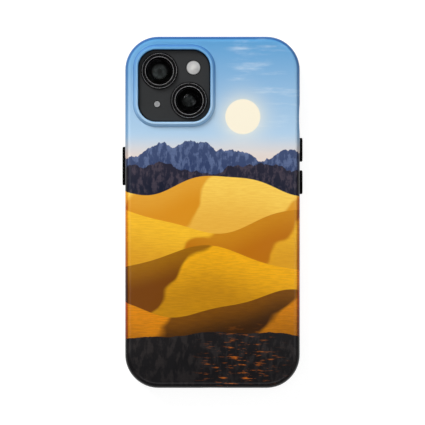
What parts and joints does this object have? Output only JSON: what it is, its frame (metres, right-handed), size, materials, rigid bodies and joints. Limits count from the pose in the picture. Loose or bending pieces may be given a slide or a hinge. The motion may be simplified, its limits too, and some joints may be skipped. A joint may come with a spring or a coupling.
{
  "type": "smartphone in a protective case",
  "caption": "Slim rounded slab phone inside a hard printed shell over a soft liner, with a raised collar round its rear cameras, covered side keys and open port, speaker and switch slots.",
  "frame": {"origin": "on the surface the case lies on, face down, under the middle of its outline", "axes": "+X to the right and +Y to the phone's top end as the back is seen, +Z out of the back"},
  "size_m": [0.0776, 0.151, 0.012],
  "materials": {
    "printed_shell": "printed all over under a satin clear coat",
    "soft_liner": "matte, soft to the touch",
    "frame_metal": "bead blasted and anodised dark grey",
    "back_glass": "opaque, tinted from behind, satin",
    "lens_ring": "black with a bright turned edge",
    "lens_cover": "clear, polished",
    "camera_black": "dead black",
    "lens_element": "polished and coated",
    "flash_window": "moulded with fine facets",
    "microphone_mesh": "fine mesh in a turned rim",
    "speaker_mesh": "fine black mesh",
    "port_steel": "drawn sheet",
    "port_tongue": "moulded, with plated contacts",
    "battery_wrap": "foil wrapped",
    "display_glass": "polished, oil repellent",
    "display_panel": "switched off"
  },
  "bodies": {
    "cased_phone": {"back_glass": "back_glass", "battery": "battery_wrap", "camera_module_lower": "camera_black", "camera_module_upper": "camera_black", "case_liner": "soft_liner", "case_shell": "printed_shell", "display_glass": "display_glass", "display_panel": "display_panel", "earpiece_mesh": "speaker_mesh", "flash_window": "flash_window", "front_camera": "camera_black", "lens_cover_lower": "lens_cover", "lens_cover_upper": "lens_cover", "lens_element_lower": "lens_element", "lens_element_upper": "lens_element", "lens_ring_lower": "lens_ring", "lens_ring_upper": "lens_ring", "phone_frame": "frame_metal", "port_sleeve": "port_steel", "port_tongue": "port_tongue", "rear_microphone": "microphone_mesh", "speaker_meshes": "speaker_mesh"},
    "side_key": {"side_pad": "soft_liner", "side_button": "frame_metal"},
    "volume_up_key": {"volume_up_pad": "soft_liner", "volume_up_button": "frame_metal"},
    "volume_down_key": {"volume_down_pad": "soft_liner", "volume_down_button": "frame_metal"},
    "switch_lever": {"ring_switch": "frame_metal"}
  },
  "joints": [
    {"name": "side_press", "type": "slide", "parent": "cased_phone", "child": "side_key", "axis": [1, 0, 0], "range_m": [0, 0.0003], "stiffness_N_per_m": 6000},
    {"name": "volume_up_press", "type": "slide", "parent": "cased_phone", "child": "volume_up_key", "axis": [-1, 0, 0], "range_m": [0, 0.0003], "stiffness_N_per_m": 6000},
    {"name": "volume_down_press", "type": "slide", "parent": "cased_phone", "child": "volume_down_key", "axis": [-1, 0, 0], "range_m": [0, 0.0003], "stiffness_N_per_m": 6000},
    {"name": "switch_slide", "type": "slide", "parent": "cased_phone", "child": "switch_lever", "axis": [0, 0, 1], "range_m": [0, 0.0014]}
  ]
}
